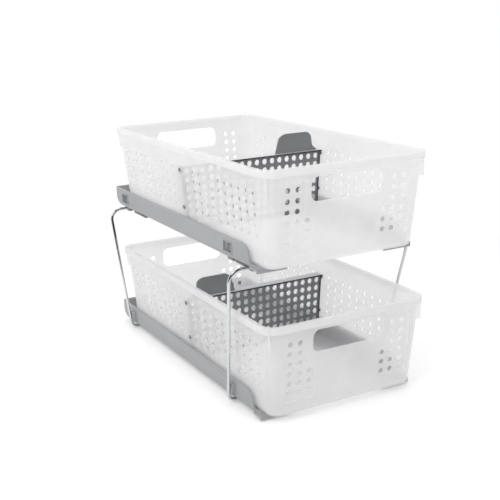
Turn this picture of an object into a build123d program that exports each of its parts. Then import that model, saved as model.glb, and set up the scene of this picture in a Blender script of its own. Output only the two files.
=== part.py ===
from build123d import *
import os
from math import atan, degrees

os.makedirs("parts", exist_ok=True)

# Two-tier slide-out organizer. X is the width, -Y is the front that the baskets pull
# out of, +Z is up. The origin is under the middle of the overall length, on the floor
# that the two wire hoops stand on.

# Baskets: one moulding, used twice
rim_length = 400.0
rim_width = 206.0
basket_height = 105.0
basket_wall = 2.0
basket_floor = 2.2
side_draft = 8.0
end_draft = 9.5
rim_overhang = 3.4
rim_corner = 17.0
rim_plate = 1.8
rim_skirt = 8.0
rim_skirt_wall = 1.6
rim_bevel = 0.8
wall_corner = 13.0
foot_rounding = 4.0
fin_thickness = 2.0
fin_drop = 27.0
fin_inset = 1.4

# Handle cut-out and round holes in both end walls
handle_width = 89.0
handle_height = 26.0
handle_corner = 8.5
handle_below_rim = 12.5
end_hole_radius = 3.1
end_hole_sides = 6
end_hole_pitch = 11.35
end_hole_columns = 3
end_hole_rows = 6
end_hole_short_rows = 3
end_hole_first_x = 47.5
end_hole_column_step = 12.0
end_hole_first_z = 24.5

# Dividers: a perforated plate with a T-shaped border, a finger tab and four pegs
divider_height = 80.5
divider_set_back = 6.5
divider_plate = 2.0
divider_border_depth = 12.0
divider_border_wall = 1.6
divider_end_gap = 1.1
divider_floor_gap = 0.5
divider_hole_radius = 3.9
divider_hole_sides = 4
divider_hole_turn = 45.0
divider_columns = 18
divider_rows = 7
divider_side_margin = 4.4
divider_top_margin = 7.4
divider_foot_margin = 8.3
tab_base_width = 58.0
tab_top_width = 42.0
tab_height = 23.5
tab_corner = 9.0
tab_flare = 5.0
tab_end_gap = 5.6
tab_thickness = 2.4
peg_radius = 2.6
peg_high = 76.0
peg_low = 31.5
peg_proud = 0.6
peg_clearance = 0.3
peg_sides = 8

# Rails: an outer wall, a ledge that the basket slides on and a rear stop
rail_length = 395.0
rail_rear_reach = 22.0
rail_height = 24.3
rail_wall = 2.4
rail_ledge = 3.0
rail_ledge_width = 36.0
rail_side_gap = 2.2
rail_rear_corner = 15.0
rail_edge_rounding = 6.0
rail_lip_length = 16.0
rail_lip_height = 3.8
rail_nose_drop = 2.0
rail_nose_wall = 2.4
rail_drop_run = 4.0
rail_drop_crown = 16.0
rail_drop_foot = 4.0
slide_gap = 0.3

# Wire hoops: closed and flat, each one leans out from its foot bar to its top bar
tier_pitch = 162.0
wire_radius = 1.9
wire_sides = 10
wire_clearance = 0.1
wire_floor_gap = 0.3
hoop_rail_gap = 2.7
hoop_rim_gap = 6.6
hoop_foot_bend = 8.0
hoop_top_bend = 14.0
front_foot_inset = 65.0
front_top_inset = 27.0
rear_foot_inset = 45.0
rear_top_inset = 26.0

# Saddles and foot pads that hold the lower rails to the wire
saddle_width = 12.0
saddle_height = 18.0
saddle_proud = 4.8
foot_pad_width = 4.0
foot_pad_length = 24.0
foot_pad_inset = 9.0

# Clips that hold the upper rails to the wire, and their windows
clip_width = 24.0
clip_plate = 2.0
clip_hook_wall = 2.2
clip_strip_inset = 3.0
clip_web_inset = 7.0
clip_arm = 1.4
clip_arm_width = 12.0
clip_arm_gap = 0.3
clip_side_gap = 0.5
latch_proud = 1.5
window_width = 18.0
window_height = 11.0
window_sill = 7.5
window_collar = 1.4
window_collar_proud = 0.8
front_window_step = 37.0
rear_window_step = 10.0
front_strip_gap = 5.0
front_strip_reach = 26.0
rear_strip_gap = 32.0
rear_strip_reach = 70.0

overrun = 5.0

# Places that follow from those sizes
overall_length = rim_length + rail_rear_reach
basket_y = -rail_rear_reach / 2
divider_y = basket_y + divider_set_back
rail_rear_y = overall_length / 2
rail_front_y = rail_rear_y - rail_length
wall_top_half_x = rim_width / 2 - rim_overhang
wall_top_half_y = rim_length / 2 - rim_overhang
wall_foot_half_x = wall_top_half_x - side_draft
foot_bar_z = wire_floor_gap + wire_radius
lower_rail_z = foot_bar_z + wire_radius + wire_clearance
lower_basket_z = lower_rail_z + rail_ledge + slide_gap
upper_basket_z = lower_basket_z + tier_pitch
upper_rail_z = upper_basket_z - slide_gap - rail_ledge
rail_inner_x = wall_foot_half_x + rail_side_gap + rail_wall / 2
rail_outer_x = rail_inner_x + rail_wall
top_bar_z = upper_rail_z - wire_clearance - wire_radius
front_foot_y = rail_front_y + front_foot_inset
front_top_y = rail_front_y + front_top_inset
rear_foot_y = rail_rear_y - rear_foot_inset
rear_top_y = rail_rear_y - rear_top_inset
hoop_foot_x = rail_outer_x + hoop_rail_gap + wire_radius
hoop_rim_x = rim_width / 2 + hoop_rim_gap + wire_radius
hoop_rim_share = (lower_basket_z + basket_height - foot_bar_z) / (top_bar_z - foot_bar_z)
hoop_top_x = hoop_foot_x + (hoop_rim_x - hoop_foot_x) / hoop_rim_share


def wall_half_width(height):
    """Half width over the outside of a basket's side walls at a height over its foot."""
    return wall_foot_half_x + side_draft * height / basket_height


def drafted_block(half_x, half_y, bottom, top, corner, rounding):
    """A block whose four sides lean in towards the foot, sized at the height of the rim."""
    block = Box(2 * half_x, 2 * half_y, top - bottom, align=(Align.CENTER, Align.CENTER, Align.MIN))
    block = Pos(0, 0, bottom) * block
    mouth = Plane((0, 0, basket_height))
    block = draft(block.faces().filter_by(Axis.X), mouth, -degrees(atan(side_draft / basket_height)))
    block = draft(block.faces().filter_by(Axis.Y), mouth, -degrees(atan(end_draft / basket_height)))
    block = fillet([edge for edge in block.edges() if bottom < edge.center().Z < top], corner)
    return fillet(block.faces().sort_by(Axis.Z)[0].edges(), rounding)


def basket_rim():
    """The flat flange round the mouth, with the skirt that turns down from its edge."""
    outline = RectangleRounded(rim_width, rim_length, rim_corner)
    inset = RectangleRounded(
        rim_width - 2 * rim_skirt_wall, rim_length - 2 * rim_skirt_wall, rim_corner - rim_skirt_wall
    )
    rim = extrude(Pos(0, 0, basket_height - rim_skirt) * outline, rim_skirt)
    rim = chamfer(rim.faces().sort_by(Axis.Z)[-1].edges(), rim_bevel)
    return rim - extrude(Pos(0, 0, basket_height - rim_skirt) * inset, rim_skirt - rim_plate)


def nesting_fins():
    """A thin upright rib across each corner, under the rim, that spaces nested baskets."""
    centre_x = rim_width / 2 - rim_corner
    centre_y = rim_length / 2 - rim_corner
    reach = rim_corner - fin_inset
    height = fin_drop - rim_plate
    fins = []
    for quarter, (side, end) in enumerate(((1, 1), (-1, 1), (-1, -1), (1, -1))):
        blade = Box(reach, fin_thickness, height, align=(Align.MIN, Align.CENTER, Align.MIN))
        turn = Rot(0, 0, 45 + 90 * quarter)
        fins.append(Pos(side * centre_x, end * centre_y, basket_height - fin_drop) * turn * blade)
    return fins


def end_wall_openings():
    """Handle cut-out and hole groups, cut through both end walls at once."""
    handle_z = basket_height - handle_below_rim - handle_height / 2
    shapes = [Pos(0, handle_z) * RectangleRounded(handle_width, handle_height, handle_corner)]
    hole = RegularPolygon(end_hole_radius, end_hole_sides)
    for column in range(end_hole_columns):
        rows = end_hole_short_rows if column == 0 else end_hole_rows
        x = end_hole_first_x + column * end_hole_column_step
        for row in range(rows):
            z = end_hole_first_z + row * end_hole_pitch
            shapes.append(Pos(x, z) * hole)
            shapes.append(Pos(-x, z) * hole)
    sketch = Plane.XZ * Sketch(children=[shape.face() for shape in shapes])
    return extrude(sketch, rim_length / 2 + overrun, both=True)


def peg_openings():
    """The two holes in each side wall that the divider's pegs go through."""
    hole = RegularPolygon(peg_radius + peg_clearance, peg_sides, major_radius=False)
    places = [Pos(divider_set_back, z) for z in (peg_low, peg_high)]
    sketch = Plane.YZ * Sketch(children=[(place * hole).face() for place in places])
    return extrude(sketch, rim_width / 2 + overrun, both=True)


def make_basket():
    """One basket about its own middle, standing on z = 0."""
    shell = drafted_block(
        wall_top_half_x, wall_top_half_y, 0, basket_height - rim_plate / 2, wall_corner, foot_rounding
    )
    cavity = drafted_block(
        wall_top_half_x - basket_wall, wall_top_half_y - basket_wall,
        basket_floor, basket_height + overrun, wall_corner - basket_wall, foot_rounding - basket_wall,
    )
    walls = shell + [basket_rim(), *nesting_fins()]
    return walls - [cavity, end_wall_openings(), peg_openings()]


def divider_half_width(height):
    """Half width of the divider, which follows the slope of the side walls."""
    return wall_half_width(height) - basket_wall - divider_end_gap


def divider_outline(margin, bottom):
    """Trapezium between the side walls, set in by a margin."""
    low = divider_half_width(bottom) - margin
    high = divider_half_width(divider_height) - margin
    top = divider_height - margin
    return make_face(Polyline((-low, bottom), (low, bottom), (high, top), (-high, top), close=True))


def finger_tab():
    """Rounded tab that stands on the divider's border, near one end."""
    base = tab_base_width / 2
    crown = tab_top_width / 2
    flare = tab_flare
    top = divider_height + tab_height
    foot = divider_height - divider_border_wall / 2
    outline = make_face(
        Polyline(
            (-base, foot), (base, foot), (base, divider_height), (base - flare, divider_height + flare),
            (crown, top), (-crown, top), (flare - base, divider_height + flare), (-base, divider_height),
            close=True,
        )
    )
    corners = outline.vertices().group_by(Axis.Y)[-1]
    middle = divider_half_width(divider_height) - tab_end_gap - base
    return Pos(middle, 0) * fillet(corners, tab_corner)


def make_divider():
    """One divider about its own middle, at its height over the foot of the basket."""
    floor = basket_floor + divider_floor_gap
    opening = RegularPolygon(divider_hole_radius, divider_hole_sides, rotation=divider_hole_turn)
    first_z = floor + divider_foot_margin
    last_z = divider_height - divider_top_margin
    holes = []
    for row in range(divider_rows):
        z = first_z + (last_z - first_z) * row / (divider_rows - 1)
        last_x = divider_half_width(z) - divider_side_margin
        for column in range(divider_columns):
            x = last_x * (2 * column / (divider_columns - 1) - 1)
            holes.append((Pos(x, z) * opening).wire())
    plate = Face(divider_outline(divider_border_wall / 2, floor).wire(), holes)
    inside = Pos(0, -divider_border_wall) * divider_outline(divider_border_wall, floor - divider_border_wall)
    border = divider_outline(0, floor) - inside
    pieces = [
        extrude(Plane.XZ * border, divider_border_depth / 2, both=True),
        extrude(Plane.XZ * finger_tab(), tab_thickness / 2, both=True),
    ]
    round_end = RegularPolygon(peg_radius, peg_sides, major_radius=False)
    for z in (peg_low, peg_high):
        inner = divider_half_width(z) - divider_border_wall / 2
        outer = wall_half_width(z) + peg_proud
        peg = extrude(Plane.YZ.offset(inner) * Pos(0, z) * round_end, outer - inner)
        pieces += [peg, mirror(peg, about=Plane.YZ)]
    return extrude(Plane.XZ * plate, divider_plate / 2, both=True) + pieces


def rail_block(side, rear, foot, top, corner, rounding):
    """A block along the rail with its rear corner and its outer lower edges rounded."""
    front = rail_front_y - overrun
    points = ((front, foot), (rear, foot), (rear, top), (front, top))
    outline = make_face(FilletPolyline(*points, radius=(0, corner, 0, 0), close=True))
    block = Pos(-side, 0, 0) * extrude(Plane.YZ * outline, rail_ledge_width)
    edges = block.faces().sort_by(Axis.X)[0].edges()
    rear_edges = [edge for edge in edges if edge.center().Y > rear - corner / 2]
    return fillet([edges.sort_by(Axis.Z)[0], *rear_edges], rounding)


def rail_front_cut():
    """What is taken away in front of the rail and over its low front lip."""
    lip_end = rail_front_y + rail_lip_length
    crown = lip_end + rail_drop_run
    front = rail_front_y - 2 * overrun
    above = rail_height + overrun
    points = (
        (rail_front_y, rail_lip_height), (lip_end, rail_lip_height), (crown, rail_height),
        (crown + rail_drop_crown, rail_height), (crown + rail_drop_crown, above),
        (front, above), (front, -overrun), (rail_front_y, -overrun),
    )
    radii = (0, rail_drop_foot, rail_drop_crown, 0, 0, 0, 0, 0)
    outline = make_face(FilletPolyline(*points, radius=radii, close=True))
    return Pos(-rail_outer_x, 0, 0) * extrude(Plane.YZ * outline, rail_ledge_width)


def plain_rail():
    """The left rail without fittings, with its underside on z = 0."""
    body = rail_block(
        rail_outer_x, rail_rear_y, 0, rail_height, rail_rear_corner, rail_edge_rounding
    )
    hollow = rail_block(
        rail_inner_x, rail_rear_y - rail_wall, rail_ledge, rail_height + overrun,
        rail_rear_corner - rail_wall, rail_edge_rounding - rail_wall,
    )
    lip = Box(rail_ledge_width, rail_lip_length, rail_ledge, align=Align.MIN)
    nose = Box(rail_ledge_width, rail_nose_wall, rail_nose_drop + rail_ledge / 2, align=Align.MIN)
    lip = Pos(-rail_outer_x, rail_front_y, 0) * lip
    nose = Pos(-rail_outer_x, rail_front_y, -rail_nose_drop) * nose
    return body - [hollow, rail_front_cut()] + [lip, nose]


def hoop_path(foot_y, top_y):
    """Centre line of a hoop: foot bar, two leaning legs and top bar, all in one plane."""
    points = (
        (-hoop_foot_x, foot_y, foot_bar_z), (hoop_foot_x, foot_y, foot_bar_z),
        (hoop_top_x, top_y, top_bar_z), (-hoop_top_x, top_y, top_bar_z),
    )
    return FilletPolyline(
        *points, radius=(hoop_foot_bend, hoop_foot_bend, hoop_top_bend, hoop_top_bend), close=True
    )


def along_hoop(foot_y, top_y, section):
    """A section carried round a hoop's centre line."""
    path = hoop_path(foot_y, top_y)
    start = path.edges().sort_by(Axis.Z)[0]
    return sweep(Plane(origin=start @ 0.5, z_dir=start % 0.5) * section, path=path.wire())


def lower_rail_fittings():
    """Saddle on the wall and two foot pads under the ledge, at each of the two wires."""
    pieces = []
    for foot_y, top_y in ((front_foot_y, front_top_y), (rear_foot_y, rear_top_y)):
        lean = (top_y - foot_y) / (top_bar_z - foot_bar_z)
        saddle_y = foot_y + lean * saddle_height / 2
        saddle = Box(
            saddle_proud + rail_wall / 2, saddle_width, saddle_height - rail_edge_rounding,
            align=(Align.MIN, Align.CENTER, Align.MIN),
        )
        pieces.append(Pos(-rail_outer_x - saddle_proud, saddle_y, rail_edge_rounding) * saddle)
        pad = Box(foot_pad_length, foot_pad_width, lower_rail_z, align=(Align.MIN, Align.CENTER, Align.MAX))
        step = wire_radius + wire_clearance + foot_pad_width / 2
        for side in (-1, 1):
            pieces.append(Pos(-rail_outer_x + foot_pad_inset, foot_y + side * step, 0) * pad)
    return pieces


def make_lower_rail():
    """Left rail of the lower tier, in the object's own frame."""
    rail = plain_rail()
    for piece in lower_rail_fittings():
        rail += piece
    rail = Pos(0, 0, lower_rail_z) * rail
    groove_width = 2 * (wire_radius + wire_clearance)
    groove = Rectangle(groove_width, groove_width)
    rail -= along_hoop(front_foot_y, front_top_y, groove)
    rail -= along_hoop(rear_foot_y, rear_top_y, groove)
    return rail


def clip_places():
    """Where each clip's wire, its window and the ends of its strip lie along an upper rail."""
    return {
        "front": (
            front_top_y, front_top_y + front_window_step,
            front_top_y + front_strip_gap, front_top_y + front_strip_reach,
        ),
        "rear": (
            rear_top_y, rear_top_y - rear_window_step,
            rear_top_y - rear_strip_gap, rear_top_y - rear_strip_reach,
        ),
    }


def make_upper_rail():
    """Left rail of the upper tier, with a collared window and a slot for each clip."""
    rail = plain_rail()
    window_z = window_sill + window_height / 2
    slot_width = clip_arm + 2 * clip_arm_gap
    slot_length = clip_arm_width + 2 * clip_side_gap
    for places in clip_places().values():
        window_y = places[1]
        collar = Box(
            rail_wall, window_width + 2 * window_collar, window_height + 2 * window_collar,
            align=(Align.MIN, Align.CENTER, Align.CENTER),
        )
        rail += Pos(-rail_outer_x - window_collar_proud, window_y, window_z) * collar
        window = Box(2 * overrun, window_width, window_height)
        slot = Box(
            slot_width, slot_length, 2 * (rail_ledge + rail_edge_rounding),
            align=(Align.MIN, Align.CENTER, Align.CENTER),
        )
        rail -= Pos(-rail_outer_x, window_y, window_z) * window
        rail -= Pos(-rail_inner_x, window_y, 0) * slot
    return Pos(0, 0, upper_rail_z) * rail


def clip_hook(wire_y):
    """The hook that holds the wire up against the underside of the rail."""
    groove = wire_radius + wire_clearance
    half_width = groove + clip_hook_wall
    wire_z = -groove
    foot = wire_z - groove - clip_plate
    hook = Pos(wire_y, (foot - wire_clearance) / 2) * RectangleRounded(
        2 * half_width, -wire_clearance - foot, clip_hook_wall / 2
    )
    channel = Pos(wire_y, wire_z) * Circle(groove)
    mouth = Pos(wire_y, wire_z + groove) * Rectangle(2 * groove, 2 * groove)
    profile = Plane.YZ * (hook - [channel, mouth])
    return Pos(clip_web_inset - rail_outer_x, 0, 0) * extrude(profile, clip_width - clip_web_inset)


def clip_strip(inset, first_y, last_y):
    """A flat part of a clip under the rail, set in from the rail's outer side."""
    length = abs(last_y - first_y)
    strip = Box(clip_width - inset, length, clip_plate, align=(Align.MIN, Align.CENTER, Align.MAX))
    return Pos(inset - rail_outer_x, (first_y + last_y) / 2, -wire_clearance) * strip


def make_clip(wire_y, window_y, strip_start, strip_end):
    """Left clip: a hook round the wire, a flat plate and a sprung arm with a latch."""
    away = 1 if window_y > wire_y else -1
    hook_side = wire_y + away * (wire_radius + wire_clearance + clip_hook_wall / 2)
    arm_start = window_y - away * clip_arm_width / 2
    arm_end = window_y + away * clip_arm_width / 2
    plate_end = max(strip_end, arm_end, key=lambda y: abs(y - wire_y))
    foot = -wire_clearance - clip_plate
    arm_top = window_sill + window_height - clip_side_gap
    arm = Box(
        clip_arm, clip_arm_width, arm_top - foot, align=(Align.MIN, Align.CENTER, Align.MIN)
    )
    latch_foot = window_sill + clip_arm_gap
    latch = make_face(
        Polyline((0, arm_top), (0, latch_foot), (-latch_proud, latch_foot), close=True)
    )
    latch = extrude(Plane.XZ * latch, clip_arm_width / 2, both=True)
    arm_x = clip_arm_gap - rail_inner_x
    clip = clip_hook(wire_y) + [
        clip_strip(clip_web_inset, hook_side, plate_end),
        clip_strip(clip_strip_inset, strip_start, strip_end),
        clip_strip(rail_wall + clip_arm_gap, arm_start, arm_end),
        Pos(arm_x, window_y, foot) * arm,
        Pos(arm_x, window_y, 0) * latch,
    ]
    return Pos(0, 0, upper_rail_z) * clip


def save(part, node):
    """Write one named piece."""
    part.label = node
    export_step(part, f"parts/{node}.step")


basket = make_basket()
divider = make_divider()
save(Pos(0, basket_y, lower_basket_z) * basket, "lower_basket")
save(Pos(0, basket_y, upper_basket_z) * basket, "upper_basket")
save(Pos(0, divider_y, lower_basket_z) * Rot(0, 0, 180) * divider, "lower_divider")
save(Pos(0, divider_y, upper_basket_z) * divider, "upper_divider")

lower_rail = make_lower_rail()
upper_rail = make_upper_rail()
for tier, left_rail in (("lower", lower_rail), ("upper", upper_rail)):
    save(left_rail, f"{tier}_left_rail")
    save(mirror(left_rail, about=Plane.YZ), f"{tier}_right_rail")

for end, places in clip_places().items():
    left_clip = make_clip(*places)
    save(left_clip, f"{end}_left_clip")
    save(mirror(left_clip, about=Plane.YZ), f"{end}_right_clip")

wire = RegularPolygon(wire_radius, wire_sides)
save(along_hoop(front_foot_y, front_top_y, wire), "front_wire_hoop")
save(along_hoop(rear_foot_y, rear_top_y, wire), "rear_wire_hoop")
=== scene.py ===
from math import cos, pi, radians, sin, tan

import bmesh
import bpy
from mathutils import Matrix, Vector


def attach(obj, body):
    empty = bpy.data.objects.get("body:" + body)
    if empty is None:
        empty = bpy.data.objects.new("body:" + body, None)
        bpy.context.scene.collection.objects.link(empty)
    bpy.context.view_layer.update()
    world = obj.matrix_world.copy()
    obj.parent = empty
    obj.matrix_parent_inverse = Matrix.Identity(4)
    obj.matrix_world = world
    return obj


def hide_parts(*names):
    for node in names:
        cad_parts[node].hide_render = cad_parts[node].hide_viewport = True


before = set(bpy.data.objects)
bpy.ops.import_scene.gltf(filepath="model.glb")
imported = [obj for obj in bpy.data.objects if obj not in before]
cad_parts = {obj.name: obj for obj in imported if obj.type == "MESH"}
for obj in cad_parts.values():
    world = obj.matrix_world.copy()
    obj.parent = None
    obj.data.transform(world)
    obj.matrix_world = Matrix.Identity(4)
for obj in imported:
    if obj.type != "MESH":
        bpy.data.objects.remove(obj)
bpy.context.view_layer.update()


# Wire hoops, front and rear: drawn steel wire nearly 4 mm thick, bent into a leaning hoop and
# welded shut, then plated with bright chrome. The foot bar runs under the lower rails and the
# top bar carries the upper ones, so the whole organizer hangs on these two pieces.
mm = 0.001
wire_radius = 1.87 * mm
wire_sides = 24
bend_steps = 14
foot_bar_z = 2.2 * mm
top_bar_z = 164.2 * mm
foot_half_width = 102 * mm
top_half_width = 115.95 * mm
foot_bend = 8 * mm
top_bend = 14 * mm
foot_bar_y = {"front_wire_hoop": -119 * mm, "rear_wire_hoop": 166 * mm}
top_bar_y = {"front_wire_hoop": -157 * mm, "rear_wire_hoop": 185 * mm}
handling_mark = 6 * mm
draw_line_depth = 0.1 * mm
sharp_angle = radians(32)


def colour(code):
    """A colour written in sRGB hex, in the linear values that a shader wants."""
    channels = [int(code[i:i + 2], 16) / 255 for i in (0, 2, 4)]
    return [*(c / 12.92 if c <= 0.04045 else ((c + 0.055) / 1.055) ** 2.4 for c in channels), 1]


def node(tree, kind, inputs=None, **settings):
    """Add one node. Inputs are named or numbered, and take a value or another node's socket."""
    made = tree.nodes.new(kind)
    for name, value in settings.items():
        setattr(made, name, value)
    for key, value in (inputs or {}).items():
        if isinstance(value, bpy.types.NodeSocket):
            tree.links.new(value, made.inputs[key])
        else:
            made.inputs[key].default_value = value
    return made


def new_tree(name, sockets):
    """An empty Geometry Nodes tree with named inputs, its first input and its output a shape."""
    tree = bpy.data.node_groups.new(name, "GeometryNodeTree")
    tree.interface.new_socket("Shape", in_out="INPUT", socket_type="NodeSocketGeometry")
    tree.interface.new_socket("Shape", in_out="OUTPUT", socket_type="NodeSocketGeometry")
    for label, kind in sockets.items():
        tree.interface.new_socket(label, in_out="INPUT", socket_type=f"NodeSocket{kind}")
    return tree


def as_object(name, mesh):
    """An object at the origin that shows this mesh."""
    made = bpy.data.objects.new(name, mesh)
    bpy.context.scene.collection.objects.link(made)
    return made


def settle(piece):
    """Turn what the modifiers make of a piece into its plain mesh, and take them off."""
    evaluated = piece.evaluated_get(bpy.context.evaluated_depsgraph_get())
    mesh = bpy.data.meshes.new_from_object(evaluated)
    piece.modifiers.clear()
    piece.data = mesh
    return piece


def work(piece, tree, **values):
    """Run a Geometry Nodes tree on a piece. An input that isn't named here stays zero or off."""
    modifier = piece.modifiers.new(tree.name, "NODES")
    modifier.node_group = tree
    for item in tree.interface.items_tree:
        label = item.name.lower().replace(" ", "_")
        if item.in_out == "INPUT" and label in values:
            modifier[item.identifier] = values[label]
    return settle(piece)


def hand_over(piece, material, body, cad_node):
    """Give a finished piece its material and shading, and its place in the frame."""
    piece.data.materials.clear()
    piece.data.materials.append(material)
    piece.data.polygons.foreach_set("use_smooth", [True] * len(piece.data.polygons))
    piece.data.set_sharp_from_angle(angle=sharp_angle)
    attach(piece, body)
    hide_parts(cad_node)


def bright_chrome():
    """Chrome plate on drawn wire. The eye sees a mirror, drawn out along the wire into white
    and dark streaks, and a few duller spots where it has been handled."""
    material = bpy.data.materials.new("bright_chrome")
    material.use_nodes = True
    tree = material.node_tree
    place = node(tree, "ShaderNodeTexCoord").outputs["Object"]
    marks = node(tree, "ShaderNodeTexNoise", {"Vector": place, "Scale": 1 / handling_mark, "Detail": 4})
    dull = node(tree, "ShaderNodeMapRange", {
        "Value": marks.outputs["Fac"], "From Min": 0.35, "From Max": 0.75,
        "To Min": 0.04, "To Max": 0.12})
    bump = node(tree, "ShaderNodeBump", {
        "Height": marks.outputs["Fac"], "Strength": 0.04, "Distance": draw_line_depth})
    shader = tree.nodes["Principled BSDF"]
    shader.inputs["Base Color"].default_value = colour("d2d3d4")
    shader.inputs["Metallic"].default_value = 1
    tree.links.new(dull.outputs["Result"], shader.inputs["Roughness"])
    tree.links.new(bump.outputs["Normal"], shader.inputs["Normal"])
    return material


bent_wire = new_tree("bent_wire", {
    "Foot height": "Float", "Top height": "Float", "Foot bend": "Float", "Top bend": "Float",
    "Wire radius": "Float", "Wire sides": "Int", "Bend steps": "Int", "Plating": "Material"})
given = node(bent_wire, "NodeGroupInput").outputs
here = node(bent_wire, "GeometryNodeInputPosition").outputs["Position"]
height = node(bent_wire, "ShaderNodeSeparateXYZ", {"Vector": here})
bend = node(bent_wire, "ShaderNodeMapRange", {
    "Value": height.outputs["Z"], "From Min": given["Foot height"], "From Max": given["Top height"],
    "To Min": given["Foot bend"], "To Max": given["Top bend"]})
line = node(bent_wire, "GeometryNodeMeshToCurve", {"Mesh": given["Shape"]})
bent = node(bent_wire, "GeometryNodeFilletCurve", {
    "Curve": line.outputs["Curve"], "Radius": bend.outputs["Result"],
    "Count": given["Bend steps"]}, mode="POLY")
section = node(bent_wire, "GeometryNodeCurvePrimitiveCircle", {
    "Resolution": given["Wire sides"], "Radius": given["Wire radius"]})
wire = node(bent_wire, "GeometryNodeCurveToMesh", {
    "Curve": bent.outputs["Curve"], "Profile Curve": section.outputs["Curve"]})
solid = node(bent_wire, "GeometryNodeRealizeInstances", {"Geometry": wire.outputs["Mesh"]})
plated = node(bent_wire, "GeometryNodeSetMaterial", {
    "Geometry": solid.outputs["Geometry"], "Material": given["Plating"]})
node(bent_wire, "NodeGroupOutput", {"Shape": plated.outputs["Geometry"]})

chrome = bright_chrome()
for name, foot_y in foot_bar_y.items():
    top_y = top_bar_y[name]
    corners = bpy.data.meshes.new(name)
    corners.from_pydata([
        (-foot_half_width, foot_y, foot_bar_z), (foot_half_width, foot_y, foot_bar_z),
        (top_half_width, top_y, top_bar_z), (-top_half_width, top_y, top_bar_z),
    ], [(0, 1), (1, 2), (2, 3), (3, 0)], [])
    hoop = work(
        as_object(f"{name}_chromed", corners), bent_wire,
        foot_height=foot_bar_z, top_height=top_bar_z, foot_bend=foot_bend, top_bend=top_bend,
        wire_radius=wire_radius, wire_sides=wire_sides, bend_steps=bend_steps, plating=chrome)
    hand_over(hoop, chrome, "frame", name)


# Rails and clips: moulded in mid-grey polypropylene and acetal. The rails are long L-shaped
# runners with a ledge, a rear stop and a low front lip; the clips snap under the upper pair
# and hold the wire. The satin faces come from a finely eroded mould.
rail_rounding = 0.8 * mm
clip_rounding = 0.25 * mm
rail_grain = 0.8 * mm
clip_grain = 0.6 * mm
grain_depth = 0.05 * mm
flow_mark = 60 * mm
flow_shade = 0.06
same_point = 0.002 * mm
flat_angle = radians(1)
rounded_angle = radians(40)
plastic_ior = 1.49


def round_edges(piece, width):
    """Round off a moulding's sharp edges."""
    rounding = piece.modifiers.new("rounding", "BEVEL")
    rounding.width = width
    rounding.segments = 2
    rounding.limit_method = "ANGLE"
    rounding.angle_limit = rounded_angle
    return settle(piece)


def rounded_copy(name, width):
    """A CAD piece with its loose triangles merged and its sharp edges rounded off."""
    mesh = bmesh.new()
    mesh.from_mesh(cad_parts[name].data)
    bmesh.ops.remove_doubles(mesh, verts=mesh.verts, dist=same_point)
    bmesh.ops.dissolve_limit(mesh, angle_limit=flat_angle, verts=mesh.verts, edges=mesh.edges)
    made = bpy.data.meshes.new(name)
    mesh.to_mesh(made)
    mesh.free()
    return round_edges(as_object(f"{name}_moulded", made), width)


def satin_moulding(name, code, grain, roughness):
    """Grey plastic from an eroded mould. The eye sees an even, soft sheen and slight flow
    marks. The real grain is some 0.05 mm wide, too fine to show, so it is drawn coarser."""
    material = bpy.data.materials.new(name)
    material.use_nodes = True
    tree = material.node_tree
    place = node(tree, "ShaderNodeTexCoord").outputs["Object"]
    fine = node(tree, "ShaderNodeTexNoise", {"Vector": place, "Scale": 1 / grain, "Detail": 3})
    broad = node(tree, "ShaderNodeTexNoise", {"Vector": place, "Scale": 1 / flow_mark, "Detail": 2})
    darker, paler = (
        [share * c for c in colour(code)[:3]] + [1] for share in (1 - flow_shade, 1 + flow_shade))
    tint = node(tree, "ShaderNodeMix", {
        "Factor": broad.outputs["Fac"], 6: darker, 7: paler}, data_type="RGBA")
    dull = node(tree, "ShaderNodeMapRange", {
        "Value": fine.outputs["Fac"], "From Min": 0.3, "From Max": 0.7,
        "To Min": roughness - 0.06, "To Max": roughness + 0.08})
    bump = node(tree, "ShaderNodeBump", {
        "Height": fine.outputs["Fac"], "Strength": 0.15, "Distance": grain_depth})
    shader = tree.nodes["Principled BSDF"]
    shader.inputs["IOR"].default_value = plastic_ior
    tree.links.new(tint.outputs[2], shader.inputs["Base Color"])
    tree.links.new(dull.outputs["Result"], shader.inputs["Roughness"])
    tree.links.new(bump.outputs["Normal"], shader.inputs["Normal"])
    return material


rail_plastic = satin_moulding("satin_grey_polypropylene", "a6a7a9", rail_grain, roughness=0.42)
clip_plastic = satin_moulding("satin_grey_acetal", "7c7d7f", clip_grain, roughness=0.36)
for tier in ("upper", "lower"):
    for side in ("left", "right"):
        name = f"{tier}_{side}_rail"
        hand_over(rounded_copy(name, rail_rounding), rail_plastic, "frame", name)
for end in ("front", "rear"):
    for side in ("left", "right"):
        name = f"{end}_{side}_clip"
        hand_over(rounded_copy(name, clip_rounding), clip_plastic, "frame", name)


# Baskets, upper and lower: one thin-walled moulding in frosted natural polypropylene, used
# twice. It has drafted walls, a rim with a turned-down skirt, nesting fins under the rim's
# corners, a hand hole in each end, and round holes left by pins in the mould.
basket_middle_y = -11 * mm
basket_floors = {"lower": 7.5 * mm, "upper": 169.5 * mm}
basket_height = 105 * mm
rim_half_x = 103 * mm
rim_half_y = 200 * mm
rim_corner = 17 * mm
rim_plate = 1.8 * mm
rim_skirt = 8 * mm
rim_edge = 0.8 * mm
skirt_wall = 1.6 * mm
skirt_edge = 0.4 * mm
wall_top_x = 99.6 * mm
wall_top_y = 196.6 * mm
side_draft = 8 * mm
end_draft = 9.5 * mm
wall_thickness = 2 * mm
wall_corner = 13 * mm
floor_thickness = 2.2 * mm
foot_rounding = 4 * mm
fin_foot_z = 78 * mm
fin_top_z = 104 * mm
fin_foot_start = 9.6 * mm
fin_top_start = 12.8 * mm
fin_reach = 15.6 * mm
fin_half_thickness = 1 * mm
hand_hole_z = 79.5 * mm
hand_hole_half_x = 44.5 * mm
hand_hole_half_z = 13 * mm
hand_hole_corner = 8.5 * mm
pocket_far_x = 81 * mm
pocket_near_x = 52 * mm
pocket_wide_x = 40.5 * mm
pocket_foot_z = 14 * mm
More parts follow.
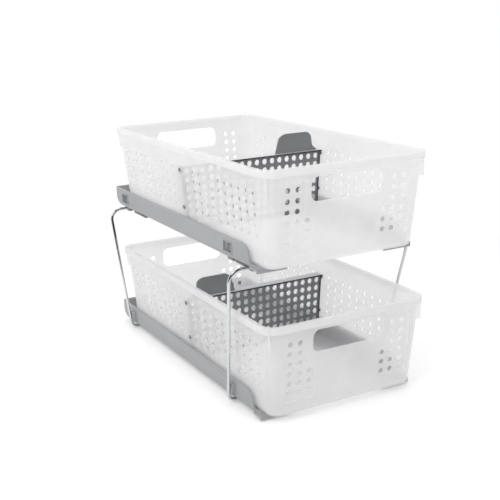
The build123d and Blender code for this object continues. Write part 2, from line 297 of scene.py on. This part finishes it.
pocket_step_z = 53 * mm
pocket_top_z = 92.6 * mm
pocket_corner = 4 * mm
pocket_step_corner = 3 * mm
pocket_depth = 0.8 * mm
inner_pocket_margin = 1.6 * mm
inner_pocket_depth = 1.4 * mm
pocket_overrun = 2 * mm
through_wall = 8 * mm
hole_sides = 24
end_hole_radius = 3 * mm
end_hole_foot_z = 24.5 * mm
end_hole_pitch_x = 12 * mm
end_hole_pitch_z = 11.35 * mm
end_hole_outer_x = 59.5 * mm
end_hole_inner_x = end_hole_outer_x - end_hole_pitch_x
end_pin_length = 420 * mm
side_hole_radius = 2.85 * mm
side_hole_sides = 20
side_hole_rows = 5
side_hole_foot_z = 33.5 * mm
side_hole_pitch_y = 15.6 * mm
side_hole_pitch_z = 11.1 * mm
rear_group_start_y = 26.6 * mm
rear_group_columns = 10
front_group_start_y = -11 * mm
front_group_columns = 11
side_pin_length = 220 * mm
divider_set_back = 6.5 * mm
peg_hole_radius = 2.9 * mm
peg_foot_z = 31.5 * mm
peg_pitch_z = 44.5 * mm
frost_grain = 1.2 * mm
frost_depth = 0.05 * mm
milk_cloud = 45 * mm


def quarter_turn(steps):
    """The angles that a rounding runs through, from its start to its end."""
    return [step / steps * pi / 2 for step in range(steps + 1)]


def rounded(corners, radii, steps=8):
    """Points round a flat outline whose corners are rounded to the given radii."""
    points = []
    for i, corner in enumerate(corners):
        here = Vector(corner)
        back = (Vector(corners[i - 1]) - here).normalized()
        ahead = (Vector(corners[(i + 1) % len(corners)]) - here).normalized()
        half = back.angle(ahead) / 2
        middle = here + (back + ahead).normalized() * radii[i] / sin(half)
        start = here + back * radii[i] / tan(half) - middle
        end = here + ahead * radii[i] / tan(half) - middle
        for step in range(steps + 1):
            points.append(middle + start.slerp(end, step / steps).normalized() * radii[i])
    return points


def rectangle(half_x, half_y, corner):
    """Points round a rectangle with rounded corners."""
    corners = [(-half_x, -half_y), (half_x, -half_y), (half_x, half_y), (-half_x, half_y)]
    return rounded(corners, [corner] * 4, steps=10)


def loft(*rings):
    """A closed mesh through rings of equal length, with a face across the first and the last."""
    shape = bmesh.new()
    rows = [[shape.verts.new(point) for point in ring] for ring in rings]
    for low, high in zip(rows, rows[1:]):
        for i in range(len(low)):
            shape.faces.new((low[i - 1], low[i], high[i], high[i - 1]))
    shape.faces.new(rows[0])
    shape.faces.new(rows[-1])
    bmesh.ops.recalc_face_normals(shape, faces=shape.faces)
    mesh = bpy.data.meshes.new("loft")
    shape.to_mesh(mesh)
    shape.free()
    return mesh


def together(name, meshes):
    """One object that holds several meshes."""
    shape = bmesh.new()
    for mesh in meshes:
        shape.from_mesh(mesh)
    joined = bpy.data.meshes.new(name)
    shape.to_mesh(joined)
    shape.free()
    return as_object(name, joined)


def combine(piece, other, operation):
    """Add another closed shape to a piece, or cut it away."""
    modifier = piece.modifiers.new("shape", "BOOLEAN")
    modifier.operation = operation
    modifier.solver = "MANIFOLD"
    modifier.object = other
    settle(piece)
    bpy.data.objects.remove(other)


def wall_ring(z, inset, corner):
    """A ring on the drafted walls, set in from their outside."""
    lean = 1 - z / basket_height
    outline = rectangle(
        wall_top_x - side_draft * lean - inset, wall_top_y - end_draft * lean - inset, corner)
    return [(p.x, p.y, z) for p in outline]


def rim_ring(inset, z):
    """A ring round the rim."""
    outline = rectangle(rim_half_x - inset, rim_half_y - inset, rim_corner - inset)
    return [(p.x, p.y, z) for p in outline]


def basket_shell():
    """Walls, floor and rim as one skin, from the middle of the foot out and over the rim."""
    rings = []
    for turn in quarter_turn(4):
        inset = foot_rounding * (1 - sin(turn))
        rings.append(wall_ring(foot_rounding * (1 - cos(turn)), inset, wall_corner - inset))
    plate_foot = basket_height - rim_plate
    lip = basket_height - rim_skirt
    rings += [
        wall_ring(plate_foot, 0, wall_corner), rim_ring(skirt_wall, plate_foot),
        rim_ring(skirt_wall, lip + skirt_edge), rim_ring(skirt_wall - skirt_edge, lip),
        rim_ring(skirt_edge, lip), rim_ring(0, lip + skirt_edge)]
    for turn in quarter_turn(3):
        rings.append(rim_ring(rim_edge * (1 - cos(turn)), basket_height - rim_edge * (1 - sin(turn))))
    inner_corner = wall_corner - wall_thickness
    midway = 0.3 * rim_edge
    for drop, back in ((0, rim_edge), (midway, midway), (rim_edge, 0)):
        rings.append(wall_ring(basket_height - drop, wall_thickness - back, inner_corner + back))
    hollow = foot_rounding - wall_thickness
    for turn in quarter_turn(3):
        z = floor_thickness + hollow * (1 - sin(turn))
        inset = hollow * (1 - cos(turn))
        rings.append(wall_ring(z, wall_thickness + inset, inner_corner - inset))
    return loft(*rings)


def nesting_fin(side, end):
    """A thin upright blade across one corner, under the rim, that spaces stacked baskets."""
    centre = Vector((side * (rim_half_x - rim_corner), end * (rim_half_y - rim_corner)))
    away = Vector((side, end)).normalized()
    across = Vector((-away.y, away.x)) * fin_half_thickness
    reach = centre + away * fin_reach
    rings = []
    for z, start_distance in ((fin_foot_z, fin_foot_start), (fin_top_z, fin_top_start)):
        start = centre + away * start_distance
        flat = [start - across, reach - across, reach + across, start + across]
        rings.append([(p.x, p.y, z) for p in flat])
    return loft(*rings)


def end_wall_cutter(outline, inside, outside, end):
    """A block over an outline on an end wall, which follows the wall's lean."""
    rings = []
    for out in (-inside, outside):
        rings.append([
            (p.x, end * (wall_top_y - end_draft * (1 - p.y / basket_height) + out), p.y)
            for p in outline])
    return loft(*rings)


def pocket_outline(side, margin):
    """The stepped field round a group of holes, wider towards the middle below the hand hole."""
    far = pocket_far_x - margin
    near = pocket_near_x + margin
    wide = pocket_wide_x + margin
    foot = pocket_foot_z + margin
    step = pocket_step_z - margin
    top = pocket_top_z - margin
    corners = [(wide, foot), (far, foot), (far, top), (near, top), (near, step), (wide, step)]
    radii = [pocket_corner] * 4 + [pocket_step_corner] * 2
    return rounded([(side * x, z) for x, z in corners], radii, steps=5)


pin_holes = new_tree("pin_holes", {
    "First hole": "Vector", "Step across": "Vector", "Step up": "Vector",
    "Columns": "Int", "Rows": "Int", "Mirrored": "Bool", "Mirror": "Vector",
    "Hole radius": "Float", "Pin length": "Float", "Sides": "Int", "Pin turn": "Rotation",
    "Plastic": "Material"})
given = node(pin_holes, "NodeGroupInput").outputs
index = node(pin_holes, "GeometryNodeInputIndex").outputs["Index"]
column = node(pin_holes, "ShaderNodeMath", {0: index, 1: given["Columns"]}, operation="MODULO")
ratio = node(pin_holes, "ShaderNodeMath", {0: index, 1: given["Columns"]}, operation="DIVIDE")
row = node(pin_holes, "ShaderNodeMath", {0: ratio.outputs[0]}, operation="FLOOR")
along = node(pin_holes, "ShaderNodeVectorMath", {
    0: given["Step across"], "Scale": column.outputs[0]}, operation="SCALE")
up = node(pin_holes, "ShaderNodeVectorMath", {
    0: given["Step up"], "Scale": row.outputs[0]}, operation="SCALE")
moved = node(pin_holes, "ShaderNodeVectorMath", {
    0: along.outputs[0], 1: up.outputs[0]}, operation="ADD")
spot = node(pin_holes, "ShaderNodeVectorMath", {
    0: given["First hole"], 1: moved.outputs[0]}, operation="ADD")
count = node(pin_holes, "ShaderNodeMath", {
    0: given["Columns"], 1: given["Rows"]}, operation="MULTIPLY")
grid = node(pin_holes, "GeometryNodePoints", {
    "Count": count.outputs[0], "Position": spot.outputs[0]})
here = node(pin_holes, "GeometryNodeInputPosition").outputs["Position"]
across = node(pin_holes, "ShaderNodeVectorMath", {
    0: here, 1: given["Mirror"]}, operation="MULTIPLY")
other_side = node(pin_holes, "GeometryNodeSetPosition", {
    "Geometry": grid.outputs[0], "Position": across.outputs[0]})
chosen = node(pin_holes, "GeometryNodeSwitch", {
    "Switch": given["Mirrored"], "True": other_side.outputs[0]}, input_type="GEOMETRY")
both_sides = node(pin_holes, "GeometryNodeJoinGeometry", {0: grid.outputs[0]})
pin_holes.links.new(chosen.outputs[0], both_sides.inputs[0])
pin = node(pin_holes, "GeometryNodeMeshCylinder", {
    "Vertices": given["Sides"], "Radius": given["Hole radius"], "Depth": given["Pin length"]})
pins = node(pin_holes, "GeometryNodeInstanceOnPoints", {
    "Points": both_sides.outputs[0], "Instance": pin.outputs["Mesh"], "Rotation": given["Pin turn"]})
real_pins = node(pin_holes, "GeometryNodeRealizeInstances", {"Geometry": pins.outputs[0]})
cut = node(pin_holes, "GeometryNodeMeshBoolean", {
    "Mesh 1": given["Shape"], "Mesh 2": real_pins.outputs[0]},
    operation="DIFFERENCE", solver="MANIFOLD")
moulded = node(pin_holes, "GeometryNodeSetMaterial", {
    "Geometry": cut.outputs["Mesh"], "Material": given["Plastic"]})
node(pin_holes, "NodeGroupOutput", {"Shape": moulded.outputs[0]})


def frosted_polypropylene():
    """Natural polypropylene, milky all through. The eye sees it glow with the light behind it
    and things close behind show faintly. Its matt grain is some 0.1 mm wide, too fine to show,
    so it is drawn coarser."""
    material = bpy.data.materials.new("frosted_polypropylene")
    material.use_nodes = True
    tree = material.node_tree
    place = node(tree, "ShaderNodeTexCoord").outputs["Object"]
    grain = node(tree, "ShaderNodeTexNoise", {"Vector": place, "Scale": 1 / frost_grain, "Detail": 3})
    cloud = node(tree, "ShaderNodeTexNoise", {"Vector": place, "Scale": 1 / milk_cloud, "Detail": 2})
    dull = node(tree, "ShaderNodeMapRange", {
        "Value": cloud.outputs["Fac"], "From Min": 0.3, "From Max": 0.7,
        "To Min": 0.36, "To Max": 0.48})
    bump = node(tree, "ShaderNodeBump", {
        "Height": grain.outputs["Fac"], "Strength": 0.1, "Distance": frost_depth})
    shader = tree.nodes["Principled BSDF"]
    shader.inputs["Base Color"].default_value = colour("fbfbfc")
    shader.inputs["IOR"].default_value = plastic_ior
    tree.links.new(dull.outputs["Result"], shader.inputs["Roughness"])
    tree.links.new(bump.outputs["Normal"], shader.inputs["Normal"])
    glow = node(tree, "ShaderNodeBsdfTranslucent", {"Color": colour("ffffff")})
    milky = node(tree, "ShaderNodeMixShader", {
        "Fac": 0.5, 1: shader.outputs["BSDF"], 2: glow.outputs["BSDF"]})
    clear = node(tree, "ShaderNodeBsdfTransparent", {"Color": colour("ffffff")})
    clear_share = node(tree, "ShaderNodeMapRange", {
        "Value": cloud.outputs["Fac"], "From Min": 0.3, "From Max": 0.7,
        "To Min": 0.38, "To Max": 0.45})
    wall = node(tree, "ShaderNodeMixShader", {
        "Fac": clear_share.outputs["Result"], 1: milky.outputs[0], 2: clear.outputs["BSDF"]})
    tree.links.new(wall.outputs[0], tree.nodes["Material Output"].inputs["Surface"])
    return material


basket_plastic = frosted_polypropylene()
basket = as_object("basket", basket_shell())
four_corners = [(side, end) for side in (-1, 1) for end in (-1, 1)]
combine(basket, together("fins", [nesting_fin(*corner) for corner in four_corners]), "UNION")
hand_hole = [
    Vector((p.x, p.y + hand_hole_z))
    for p in rectangle(hand_hole_half_x, hand_hole_half_z, hand_hole_corner)]
cutters = [end_wall_cutter(hand_hole, through_wall, through_wall, end) for end in (-1, 1)]
cutters += [
    end_wall_cutter(pocket_outline(side, 0), pocket_depth, pocket_overrun, end)
    for side, end in four_corners]
combine(basket, together("hand_holes_and_pockets", cutters), "DIFFERENCE")
cutters = [
    end_wall_cutter(pocket_outline(side, inner_pocket_margin), inner_pocket_depth, pocket_overrun, end)
    for side, end in four_corners]
combine(basket, together("inner_pockets", cutters), "DIFFERENCE")
through_ends = (pi / 2, 0, 0)
through_sides = (0, pi / 2, 0)
for first_x, columns, rows in ((end_hole_outer_x, 2, 6), (end_hole_inner_x, 1, 3)):
    work(
        basket, pin_holes, columns=columns, rows=rows, first_hole=(first_x, 0, end_hole_foot_z),
        step_across=(end_hole_pitch_x, 0, 0), step_up=(0, 0, end_hole_pitch_z),
        mirrored=True, mirror=(-1, 1, 1), hole_radius=end_hole_radius, sides=hole_sides,
        pin_length=end_pin_length, pin_turn=through_ends, plastic=basket_plastic)
for first_y, step_y, columns in (
        (rear_group_start_y, side_hole_pitch_y, rear_group_columns),
        (front_group_start_y, -side_hole_pitch_y, front_group_columns)):
    work(
        basket, pin_holes, columns=columns, rows=side_hole_rows,
        first_hole=(0, first_y, side_hole_foot_z),
        step_across=(0, step_y, 0), step_up=(0, 0, side_hole_pitch_z),
        hole_radius=side_hole_radius, sides=side_hole_sides,
        pin_length=side_pin_length, pin_turn=through_sides, plastic=basket_plastic)
work(
    basket, pin_holes, columns=1, rows=2, first_hole=(0, divider_set_back, peg_foot_z),
    step_up=(0, 0, peg_pitch_z), hole_radius=peg_hole_radius, sides=hole_sides,
    pin_length=side_pin_length, pin_turn=through_sides, plastic=basket_plastic)
for tier, floor_z in basket_floors.items():
    placed = basket.data.copy()
    placed.transform(Matrix.Translation((0, basket_middle_y, floor_z)))
    hand_over(
        as_object(f"{tier}_basket_frosted", placed), basket_plastic, f"{tier}_drawer",
        f"{tier}_basket")
bpy.data.objects.remove(basket)


# Dividers, one across each basket: a smoke-grey polypropylene plate with round holes, a
# T-shaped border, a finger tab near one end and four pegs that spring into the side walls.
# The lower one is the same moulding turned end for end.
divider_height = 80.5 * mm
divider_foot = 2.7 * mm
divider_gap = 1.1 * mm
divider_corner = 2 * mm
divider_rounding = 0.35 * mm
divider_grain = 0.8 * mm
plate_half_depth = 1 * mm
border_wall = 1.6 * mm
border_half_depth = 2.4 * mm
flange_half_depth = 6 * mm
flange_foot_corner = 0.3 * mm
flange_top_corner = 1 * mm
tab_half_depth = 1.2 * mm
tab_middle_x = 60 * mm
tab_height = 23.5 * mm
tab_foot_x = 29 * mm
tab_flare_foot_z = 1 * mm
tab_flare_top_x = 23 * mm
tab_flare_top_z = 6.5 * mm
tab_top_x = 21 * mm
tab_slant_top_x = 22.5 * mm
tab_radii = [radius * mm for radius in (0.2, 0.5, 3, 9, 11, 0.3, 0.2)]
peg_radius = 2.6 * mm
peg_shoulder_radius = 2.3 * mm
peg_end_radius = 1.7 * mm
peg_past_wall = 0.55 * mm
peg_rounding = 0.6 * mm
peg_shoulder = 0.15 * mm
peg_sides = 24
divider_hole_radius = 3.5 * mm
divider_hole_margin = 5.6 * mm
divider_columns = 18
divider_rows = 7
divider_first_row_z = 11 * mm
divider_row_pitch = 10.35 * mm
plate_pin_length = 2.4 * mm
# How far from the divider's middle plane the painted edge shade begins.
edge_shade_depth = 2 * mm


def side_wall_x(z):
    """Half the distance between the outsides of the side walls, at a height."""
    return wall_top_x - side_draft * (1 - z / basket_height)


def divider_end_x(z):
    """Half the divider's length at a height."""
    return side_wall_x(z) - wall_thickness - divider_gap


def flat_block(outline, half_depth):
    """A block with this front view, as deep as it is told, about the divider's middle plane."""
    front = [(p[0], -half_depth, p[1]) for p in outline]
    back = [(p[0], half_depth, p[1]) for p in outline]
    return loft(front, back)


def divider_outline(margin, foot):
    """The trapezium between the leaning side walls."""
    top = divider_height - margin
    low = divider_end_x(foot) - margin
    high = divider_end_x(divider_height) - margin
    return [(-low, foot), (low, foot), (high, top), (-high, top)]


def peg(side, z):
    """A round peg with a rounded end, from the border out through the side wall."""
    start = divider_end_x(z) - border_wall / 2
    tip = side_wall_x(z) + peg_past_wall
    turns = [2 * pi * step / peg_sides for step in range(peg_sides)]
    rings = []
    for x, radius in (
            (start, peg_radius), (tip - peg_rounding, peg_radius),
            (tip - peg_shoulder, peg_shoulder_radius), (tip, peg_end_radius)):
        rings.append([(side * x, radius * cos(turn), z + radius * sin(turn)) for turn in turns])
    return loft(*rings)


def smoke_polypropylene():
    """Smoke-tinted satin plastic, with light painted into its colour. Faces of the border that look
    to the front or back get painted shade, nearly black, and faces that look up get a painted
    highlight, pale, where the flange's top catches the sky."""
    material = satin_moulding("smoke_grey_polypropylene", "7e7f81", divider_grain, roughness=0.28)
    tree = material.node_tree
    shader = tree.nodes["Principled BSDF"]
    tint = shader.inputs["Base Color"].links[0].from_socket
    place = node(tree, "ShaderNodeSeparateXYZ", {
        "Vector": node(tree, "ShaderNodeTexCoord").outputs["Object"]})
    signed_depth = node(tree, "ShaderNodeMath", {
        0: place.outputs["Y"], 1: basket_middle_y + divider_set_back}, operation="SUBTRACT")
    depth = node(tree, "ShaderNodeMath", {0: signed_depth.outputs[0]}, operation="ABSOLUTE")
    border = node(tree, "ShaderNodeMath", {
        0: depth.outputs[0], 1: edge_shade_depth}, operation="GREATER_THAN")
    facing = node(tree, "ShaderNodeSeparateXYZ", {
        "Vector": node(tree, "ShaderNodeNewGeometry").outputs["Normal"]})
    square = node(tree, "ShaderNodeMath", {0: facing.outputs["Y"]}, operation="ABSOLUTE")
    end_on = node(tree, "ShaderNodeMapRange", {
        "Value": square.outputs[0], "From Min": 0.35, "From Max": 0.7})
    # Border faces that look to the front or back get painted shade, nearly black, where shade falls
    # under the flange and on the ends.
    painted_edge_shade = node(tree, "ShaderNodeMath", {
        0: border.outputs[0], 1: end_on.outputs["Result"]}, operation="MULTIPLY")
    edge_shaded = node(tree, "ShaderNodeMix", {
        "Factor": painted_edge_shade.outputs[0], 6: tint, 7: colour("3a3b3d")}, data_type="RGBA")
    # Faces that look up are painted pale: a painted highlight for the sky light that falls on the
    # flange's top.
    faces_up = node(tree, "ShaderNodeMapRange", {
        "Value": facing.outputs["Z"], "From Min": 0.6, "From Max": 0.9})
    top_highlighted = node(tree, "ShaderNodeMix", {
        "Factor": faces_up.outputs["Result"], 6: edge_shaded.outputs[2], 7: colour("d2d3d5")},
        data_type="RGBA")
    tree.links.new(top_highlighted.outputs[2], shader.inputs["Base Color"])
    return material


outer = rounded(divider_outline(0, divider_foot), [divider_corner] * 4, steps=4)
divider = as_object("divider", flat_block(outer, border_half_depth))
inside = flat_block(divider_outline(border_wall, divider_foot - border_wall), border_half_depth * 2)
combine(divider, as_object("inside", inside), "DIFFERENCE")
plate = flat_block(divider_outline(border_wall / 2, divider_foot), plate_half_depth)
combine(divider, as_object("plate", plate), "UNION")
flange_foot = divider_height - border_wall
low_x = divider_end_x(flange_foot)
high_x = divider_end_x(divider_height)
flange_corners = [
    (-low_x, flange_foot), (low_x, flange_foot), (high_x, divider_height), (-high_x, divider_height)]
flange_radii = [flange_foot_corner] * 2 + [flange_top_corner] * 2
flange = flat_block(rounded(flange_corners, flange_radii, steps=4), flange_half_depth)
combine(divider, as_object("flange", flange), "UNION")
tab_top = divider_height + tab_height
tab_foot = divider_height - border_wall / 2
tab_corners = [
    (tab_foot_x, tab_foot), (tab_foot_x, divider_height + tab_flare_foot_z),
    (tab_flare_top_x, divider_height + tab_flare_top_z), (tab_top_x, tab_top),
    (-tab_slant_top_x, tab_top), (-tab_foot_x, divider_height), (-tab_foot_x, tab_foot)]
tab = [p + Vector((tab_middle_x, 0)) for p in rounded(tab_corners, tab_radii)]
combine(divider, as_object("tab", flat_block(tab, tab_half_depth)), "UNION")
pegs = [peg(side, z) for side in (-1, 1) for z in (peg_foot_z, peg_foot_z + peg_pitch_z)]
combine(divider, together("pegs", pegs), "UNION")
round_edges(divider, divider_rounding)
divider_plastic = smoke_polypropylene()
for row in range(divider_rows):
    z = divider_first_row_z + row * divider_row_pitch
    last_x = divider_end_x(z) - divider_hole_margin
    work(
        divider, pin_holes, columns=divider_columns, rows=1, first_hole=(-last_x, 0, z),
        step_across=(2 * last_x / (divider_columns - 1), 0, 0), hole_radius=divider_hole_radius,
        sides=hole_sides, pin_length=plate_pin_length, pin_turn=through_ends,
        plastic=divider_plastic)
for tier, turn in (("upper", 0), ("lower", pi)):
    place = Matrix.Translation((0, basket_middle_y + divider_set_back, basket_floors[tier]))
    placed = divider.data.copy()
    placed.transform(place @ Matrix.Rotation(turn, 4, "Z"))
    hand_over(
        as_object(f"{tier}_divider_moulded", placed), divider_plastic, f"{tier}_drawer",
        f"{tier}_divider")
bpy.data.objects.remove(divider)


# Studio: a sweep of matt white paper under a white sky, one soft box high on the left and one
# overhead. What the chrome mirrors from behind the camera is dark, as in a real studio, and
# the light that falls on the plastic stays even.
floor_half_width = 6
floor_drop = 0.1 * mm
paper_lift = 0.25
paper_ends_at = 0.3
white_from = 0.7
dark_side_y = -0.2
white_side_y = 0.5
dark_side_strength = 0.05
dark_room_strength = 0.06
sky_strength = 0.72


def white_paper():
    """Matt white paper. The eye sees it as paper round the object, and further out it fades
    into the white sky."""
    material = bpy.data.materials.new("white_paper")
    material.use_nodes = True
    tree = material.node_tree
    rays = node(tree, "ShaderNodeLightPath").outputs
    mirrored = node(tree, "ShaderNodeMath", {
        0: rays["Is Camera Ray"], 1: rays["Is Glossy Ray"]}, operation="MAXIMUM")
    seen = node(tree, "ShaderNodeMath", {
        0: mirrored.outputs[0], 1: rays["Is Transmission Ray"]}, operation="MAXIMUM")
    lift = node(tree, "ShaderNodeMath", {0: seen.outputs[0], 1: paper_lift}, operation="MULTIPLY")
    place = node(tree, "ShaderNodeTexCoord").outputs["Object"]
    away = node(tree, "ShaderNodeVectorMath", {0: place}, operation="LENGTH")
    far = node(tree, "ShaderNodeMapRange", {
        "Value": away.outputs["Value"], "From Min": paper_ends_at, "From Max": white_from},
        interpolation_type="SMOOTHSTEP")
    fade = node(tree, "ShaderNodeMath", {
        0: seen.outputs[0], 1: far.outputs["Result"]}, operation="MULTIPLY")
    shader = tree.nodes["Principled BSDF"]
    shader.inputs["Base Color"].default_value = colour("f2f2f2")
    shader.inputs["Roughness"].default_value = 0.9
    shader.inputs["Specular IOR Level"].default_value = 0.1
    shader.inputs["Emission Color"].default_value = colour("ffffff")
    tree.links.new(lift.outputs[0], shader.inputs["Emission Strength"])
    depth = node(tree, "ShaderNodeSeparateXYZ", {"Vector": place})
    dim = node(tree, "ShaderNodeMapRange", {
        "Value": depth.outputs["Y"], "From Min": dark_side_y, "From Max": white_side_y,
        "To Min": dark_side_strength, "To Max": 1})
    bright = node(tree, "ShaderNodeMix", {
        0: rays["Is Glossy Ray"], 2: 1, 3: dim.outputs["Result"]}, data_type="FLOAT")
    white = node(tree, "ShaderNodeEmission", {
        "Color": colour("ffffff"), "Strength": bright.outputs[0]})
    paper = node(tree, "ShaderNodeMixShader", {
        "Fac": fade.outputs[0], 1: shader.outputs["BSDF"], 2: white.outputs["Emission"]})
    tree.links.new(paper.outputs[0], tree.nodes["Material Output"].inputs["Surface"])
    return material


floor_corners = [
    (x * floor_half_width, y * floor_half_width, -floor_drop)
    for x, y in ((-1, -1), (1, -1), (1, 1), (-1, 1))]
floor_mesh = bpy.data.meshes.new("floor")
floor_mesh.from_pydata(floor_corners, [], [(0, 1, 2, 3)])
studio_floor = as_object("studio_floor", floor_mesh)
studio_floor.data.materials.append(white_paper())

world = bpy.data.worlds.new("studio")
bpy.context.scene.world = world
world.use_nodes = True
sky = world.node_tree
sky.nodes.clear()
rays = node(sky, "ShaderNodeLightPath").outputs
direct = node(sky, "ShaderNodeMath", {
    0: rays["Is Camera Ray"], 1: rays["Is Transmission Ray"]}, operation="MAXIMUM")
direction = node(sky, "ShaderNodeSeparateXYZ", {
    "Vector": node(sky, "ShaderNodeTexCoord").outputs["Generated"]})
shade = node(sky, "ShaderNodeMapRange", {
    "Value": direction.outputs["Y"], "From Min": 0.05, "From Max": 0.6,
    "To Min": dark_room_strength, "To Max": 1})
glossy = node(sky, "ShaderNodeMix", {
    0: rays["Is Glossy Ray"], 2: sky_strength, 3: shade.outputs["Result"]}, data_type="FLOAT")
strength = node(sky, "ShaderNodeMix", {
    0: direct.outputs[0], 2: glossy.outputs[0], 3: 1}, data_type="FLOAT")
background = node(sky, "ShaderNodeBackground", {
    "Color": colour("ffffff"), "Strength": strength.outputs[0]})
node(sky, "ShaderNodeOutputWorld", {"Surface": background.outputs["Background"]})


def soft_box(name, place, aim, width, power):
    """A square lamp behind white cloth, that looks at a point."""
    light = bpy.data.lights.new(name, "AREA")
    light.shape = "SQUARE"
    light.size = width
    light.energy = power
    lamp = bpy.data.objects.new(name, light)
    bpy.context.scene.collection.objects.link(lamp)
    lamp.location = place
    lamp.rotation_euler = (Vector(aim) - Vector(place)).to_track_quat("-Z", "Y").to_euler()


soft_box("key_soft_box", place=(-1.3, -0.5, 1.5), aim=(0, 0, 0.12), width=1.2, power=10)
soft_box("top_soft_box", place=(0.2, 0.5, 1.7), aim=(0, 0, 0.15), width=1.4, power=7)

# Camera: a long lens at the photograph's height and side, tilted by the little that the
# photograph leans.
camera_place = (-0.5392, -0.9860, 0.4417)
camera_tilt = radians(74.639)
camera_lean = radians(1.541)
camera_heading = radians(-28.86)
lens = bpy.data.cameras.new("camera")
lens.lens = 67.8
lens.sensor_width = 36
lens.clip_start = 0.01
camera = bpy.data.objects.new("camera", lens)
bpy.context.scene.collection.objects.link(camera)
camera.location = camera_place
camera.rotation_euler = (camera_tilt, camera_lean, camera_heading)
bpy.context.scene.camera = camera
bpy.context.scene.view_settings.view_transform = "Standard"
